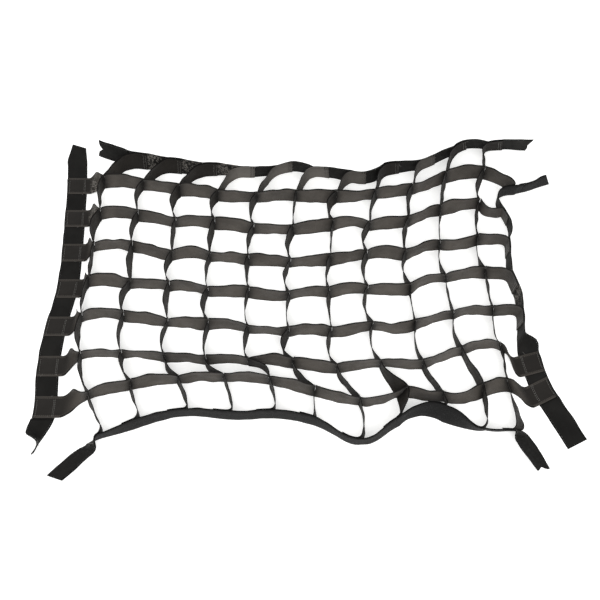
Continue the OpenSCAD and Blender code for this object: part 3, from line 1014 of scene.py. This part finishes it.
def edge_stitches(name, band, settings, skip=0.0):
    """Two lines of stitches along the edges of a band's inner face."""
    threads = Threads()
    pitch = settings.stitch_pitch / MM
    radius = settings.thread_radius / MM * 0.8
    count = int((band.u[-1] - band.u[0] - 2 * skip) / pitch)
    for k in range(count):
        u = band.u[0] + skip + k * pitch
        for v in (0.065, 0.935):
            threads.stitch(band, (u, v), (u + pitch * 0.7, v), -0.5, radius)
    return threads.object(name, material("dark_thread"))


class SOFTGRID_OT_borders(bpy.types.Operator):
    """Builds the four borders between their folds, with hook tape and edge stitches"""

    bl_idname = "softgrid.borders"
    bl_label = "Borders"

    def execute(self, context):
        settings = context.scene.softbox_grid
        for side in SIDES:
            band = border_band(side, settings.wrinkle_depth)
            cloth = band.mesh(f"border_cloth_{side}", closed_ring(BORDER_PROFILE),
                              material("border"))
            tape = band.mesh(f"border_hooks_{side}", tape_ring(), material("tape"))
            stitches = edge_stitches(f"border_stitches_{side}", band, settings)
            for piece in (cloth, tape, stitches):
                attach(piece, "root")
            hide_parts(f"hook_tape_{side}")
            declare_strip(f"border_{side}")
        return {"FINISHED"}


class SOFTGRID_OT_tails(bpy.types.Operator):
    """Builds the eight free tails, which bend at their folds"""

    bl_idname = "softgrid.tails"
    bl_label = "Tails"

    def execute(self, context):
        settings = context.scene.softbox_grid
        for side, first, name in tail_names():
            band = tail_band(side, first, settings.wrinkle_depth)
            cloth = band.mesh(f"tail_cloth_{name}", closed_ring(BORDER_PROFILE),
                              material("border"))
            tape = band.mesh(f"tail_hooks_{name}", tape_ring(), material("tape"))
            stitches = edge_stitches(f"tail_stitches_{name}", band, settings)
            for piece in (cloth, tape, stitches):
                bend_tail(piece)
            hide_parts(f"tail_tape_{name}")
            declare_strip(f"tail_{name}")
        return {"FINISHED"}


class SOFTGRID_OT_crossing_tacks(bpy.types.Operator):
    """Builds the turns of thread that tack each crossing, with their loose ends"""

    bl_idname = "softgrid.crossing_tacks"
    bl_label = "Crossing tacks"

    def execute(self, context):
        radius = context.scene.softbox_grid.thread_radius / MM
        threads = Threads()
        dice = random.Random(7)
        for row in range(1, ROWS + 1):
            for column in range(1, COLUMNS + 1):
                self.tack(threads, row, column, radius, dice)
        piece = threads.object("crossing_threads", material("dark_thread"))
        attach(piece, "root")
        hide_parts("crossing_tacks")
        return {"FINISHED"}

    @staticmethod
    def tack(threads, row, column, radius, dice):
        """Two small loops through both strips near the top, and a stray end."""
        low, tilt, _ = crossing(row, column)
        low = low - CENTRE
        up = tilt.normalized()
        turn = dice.uniform(-0.3, 0.3)
        for height, spin in ((0.94, 45), (0.88, -45), (0.5, 45)):
            centre = low + tilt * height
            angle = math.radians(spin) + turn
            flat = Vector((math.cos(angle), math.sin(angle), 0))
            loop = [centre + flat * (1.9 * math.cos(a)) + up * (1.3 * math.sin(a))
                    for a in np.linspace(0, 2 * math.pi, 11)]
            threads.add([tuple(p) for p in loop], radius)
        for _ in range(dice.choice((0, 1, 1, 2))):
            way = Vector((dice.uniform(-1, 1), dice.uniform(-1, 1), dice.uniform(0.1, 0.9)))
            threads.stray(low + tilt * 0.97, way, dice.uniform(3, 8), dice, radius)


class SOFTGRID_OT_seams(bpy.types.Operator):
    """Builds the seams that hold the strip ends to the borders"""

    bl_idname = "softgrid.seams"
    bl_label = "Seams"

    OFFSET = TAB_OFFSET - 0.55

    def execute(self, context):
        settings = context.scene.softbox_grid
        radius = settings.thread_radius / MM
        pitch = settings.stitch_pitch / MM
        dice = random.Random(21)
        for side in SIDES:
            band = border_band(side, settings.wrinkle_depth)
            band.slack = np.zeros_like(band.slack)
            threads = Threads()
            for knot, flat in self.ends(side):
                if flat is None:
                    self.turned_seam(threads, band, side, knot, pitch, radius, dice)
                else:
                    self.flat_seam(threads, band, knot + flat, pitch, radius, dice)
            piece = threads.object(f"seam_stitches_{side}", material("thread"))
            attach(piece, "root")
            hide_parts(f"seam_threads_{side}")
        return {"FINISHED"}

    @staticmethod
    def ends(side):
        """(knot, share along the bay for a flat end) of each strip end on a border."""
        if side == "left":
            return [(left_knot(r), 0.0) for r in range(1, ROWS + 1)]
        if side == "right":
            flats = {RIGHT_FLAT_ROW: RIGHT_FLAT_SHARE, ROWS: 0.0}
            return [(right_knot(r), flats.get(r)) for r in range(1, ROWS + 1)]
        knot = back_knot if side == "back" else front_knot
        return [(knot(c), None) for c in range(1, COLUMNS + 1)]

    def turned_seam(self, threads, band, side, knot, pitch, radius, dice):
        """Two lines of stitches up a strip end that lies along the border."""
        end = band.length_at(knot + tab_shares(ROUTES[side], knot)[-1])
        for setback in (2.5, 7.0):
            for k in range(int(34 / pitch)):
                v = (2.5 + k * pitch) / STRIP_H
                threads.stitch(band, (end - setback, v),
                               (end - setback + dice.uniform(-0.3, 0.3), v + 2.6 / STRIP_H),
                               self.OFFSET, radius)
        for _ in range(dice.choice((1, 2, 4))):
            root = band.at(end, dice.uniform(0.1, 0.95), TAB_OFFSET)
            way = band.at(end + 4, dice.uniform(0.2, 1.1), TAB_OFFSET - dice.uniform(1, 5)) - root
            threads.stray(root, way, dice.uniform(2, 6), dice, radius * 0.7)

    def flat_seam(self, threads, band, place, pitch, radius, dice):
        """Lines of stitches along the border where a strip end lies flat across it."""
        middle = band.length_at(place)
        for v in (0.08, 0.14, 0.86):
            for k in range(int(34 / pitch)):
                u = middle - 17 + k * pitch
                threads.stitch(band, (u, v), (u + 2.5, v + dice.uniform(-0.004, 0.004)),
                               self.OFFSET, radius)
        for _ in range(dice.choice((0, 1, 2))):
            root = band.at(middle + dice.choice((-19, 19)), dice.uniform(0.1, 0.9), TAB_OFFSET)
            way = (dice.uniform(-1, 1), dice.uniform(-1, 1), 0.25)
            threads.stray(root, way, dice.uniform(2, 5), dice, radius * 0.7)


class SOFTGRID_OT_stage(bpy.types.Operator):
    """Builds the floor, the soft light and the camera"""

    bl_idname = "softgrid.stage"
    bl_label = "Stage"

    def execute(self, context):
        scene = context.scene
        studio = scene.softbox_studio
        self.floor(studio)
        self.lights(scene, studio)
        self.camera(scene, studio)
        return {"FINISHED"}

    @staticmethod
    def floor(studio):
        half = 6.0
        verts = [(-half, -half, -0.0002), (half, -half, -0.0002), (half, half, -0.0002),
                 (-half, half, -0.0002)]
        floor = make_object(FLOOR, verts, [(0, 1, 2, 3)],
                            pale_floor("floor_white", tuple(studio.floor_colour),
                                       studio.floor_glow))

    @staticmethod
    def lights(scene, studio):
        world = bpy.data.worlds.new("studio_dome")
        world.use_nodes = True
        background = world.node_tree.nodes["Background"]
        background.inputs["Color"].default_value = (1, 1, 1, 1)
        background.inputs["Strength"].default_value = studio.dome_strength
        scene.world = world
        for name, place, size, share in (("key", (0.3, -1.7, 1.7), 1.6, 1.0),
                                         ("top", (-0.7, 0.4, 2.0), 2.2, 0.5)):
            light = bpy.data.lights.new(name, "AREA")
            light.size = size
            light.energy = studio.key_power * share
            lamp = bpy.data.objects.new(name, light)
            lamp.location = place
            lamp.rotation_euler = (-Vector(place)).to_track_quat("-Z", "Y").to_euler()
            scene.collection.objects.link(lamp)

    @staticmethod
    def camera(scene, studio):
        target = -CENTRE * MM
        back = Vector((0, -math.cos(studio.camera_elevation), math.sin(studio.camera_elevation)))
        data = bpy.data.cameras.new("camera")
        data.lens = studio.camera_lens
        data.sensor_width = 36.0
        camera = bpy.data.objects.new("camera", data)
        camera.location = target + back * studio.camera_distance
        camera.rotation_euler = (-back).to_track_quat("-Z", "Y").to_euler()
        scene.collection.objects.link(camera)
        scene.camera = camera
        scene.view_settings.view_transform = "Standard"


class SOFTGRID_PT_panel(bpy.types.Panel):
    """Lists the steps that build the grid"""

    bl_idname = "SOFTGRID_PT_panel"
    bl_label = "Softbox Grid"
    bl_space_type = "VIEW_3D"
    bl_region_type = "UI"
    bl_category = "Softbox Grid"

    def draw(self, context):
        layout = self.layout
        for group in (context.scene.softbox_grid, context.scene.softbox_studio):
            for name in group.__annotations__:
                layout.prop(group, name)
        for operator in OPERATORS:
            layout.operator(operator.bl_idname)


OPERATORS = (SOFTGRID_OT_stage, SOFTGRID_OT_row_strips, SOFTGRID_OT_column_strips,
             SOFTGRID_OT_borders, SOFTGRID_OT_tails, SOFTGRID_OT_crossing_tacks,
             SOFTGRID_OT_seams)
CLASSES = (GridSettings, StudioSettings, *OPERATORS, SOFTGRID_PT_panel)


def register():
    for cls in CLASSES:
        bpy.utils.register_class(cls)
    bpy.types.Scene.softbox_grid = PointerProperty(type=GridSettings)
    bpy.types.Scene.softbox_studio = PointerProperty(type=StudioSettings)


def unregister():
    del bpy.types.Scene.softbox_studio
    del bpy.types.Scene.softbox_grid
    for cls in reversed(CLASSES):
        bpy.utils.unregister_class(cls)


def main():
    """Builds everything in order."""
    register()
    bpy.ops.softgrid.stage()
    bpy.ops.softgrid.row_strips()
    bpy.ops.softgrid.column_strips()
    bpy.ops.softgrid.borders()
    bpy.ops.softgrid.tails()
    bpy.ops.softgrid.crossing_tacks()
    bpy.ops.softgrid.seams()


if __name__ == "__main__":
    main()
